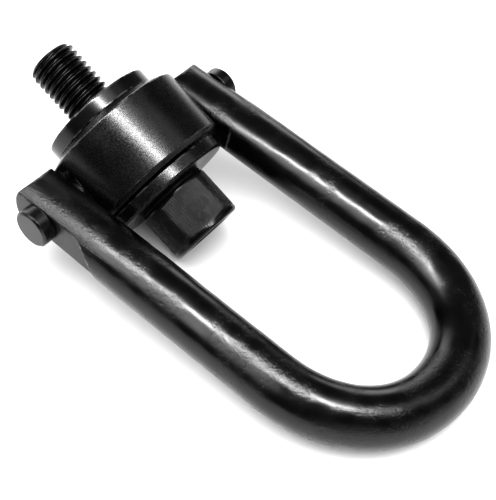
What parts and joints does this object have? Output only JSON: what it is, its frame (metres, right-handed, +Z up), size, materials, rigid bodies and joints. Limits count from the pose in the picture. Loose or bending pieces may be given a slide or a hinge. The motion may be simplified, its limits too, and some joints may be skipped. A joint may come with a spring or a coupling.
{
  "type": "swivel hoist ring",
  "caption": "Lifting ring whose forged bail pivots on a round body that swivels about a socket head cap screw.",
  "frame": {"origin": "centre of the box's underside, at the height of the surface that it lies on", "axes": "+X from the screw's tip to the crown of the bail, +Y along the bail's pivot axis, +Z up as it lies"},
  "size_m": [0.1916, 0.1028, 0.0626],
  "materials": {
    "forged_black": "forged bar with a thin glossy black oxide",
    "turned_black": "turned steel with a satin black oxide",
    "fastener_black": "fine satin black oxide on an alloy steel fastener",
    "spring_steel": "plain spring steel"
  },
  "bodies": {
    "seat": {"flanged_bushing": "turned_black"},
    "swivel": {"swivel_body": "turned_black", "shoulder_pin_front": "turned_black", "shoulder_pin_rear": "turned_black", "roll_pin_front": "spring_steel", "roll_pin_rear": "spring_steel"},
    "bail": {"bail": "forged_black"},
    "screw": {"cap_screw": "fastener_black", "retaining_ring": "spring_steel"},
    "washer": {"thrust_washer": "turned_black"},
    "spacer": {"spacer_washer": "turned_black"}
  },
  "joints": [
    {"name": "body_swivel", "type": "hinge", "parent": "seat", "child": "swivel", "pos_m": [-0.06954, 0, 0.04111], "axis": [0.881, 0, -0.4731], "continuous": true},
    {"name": "bail_pivot", "type": "hinge", "parent": "swivel", "child": "bail", "pos_m": [-0.05174, 0, 0.03155], "axis": [0, 1, 0], "range_deg": [-70.5, 109.5]},
    {"name": "screw_spin", "type": "hinge", "parent": "seat", "child": "screw", "pos_m": [-0.06954, 0, 0.04111], "axis": [0.881, 0, -0.4731], "continuous": true},
    {"name": "washer_spin", "type": "hinge", "parent": "seat", "child": "washer", "pos_m": [-0.06954, 0, 0.04111], "axis": [0.881, 0, -0.4731], "continuous": true},
    {"name": "spacer_spin", "type": "hinge", "parent": "seat", "child": "spacer", "pos_m": [-0.06954, 0, 0.04111], "axis": [0.881, 0, -0.4731], "continuous": true}
  ]
}
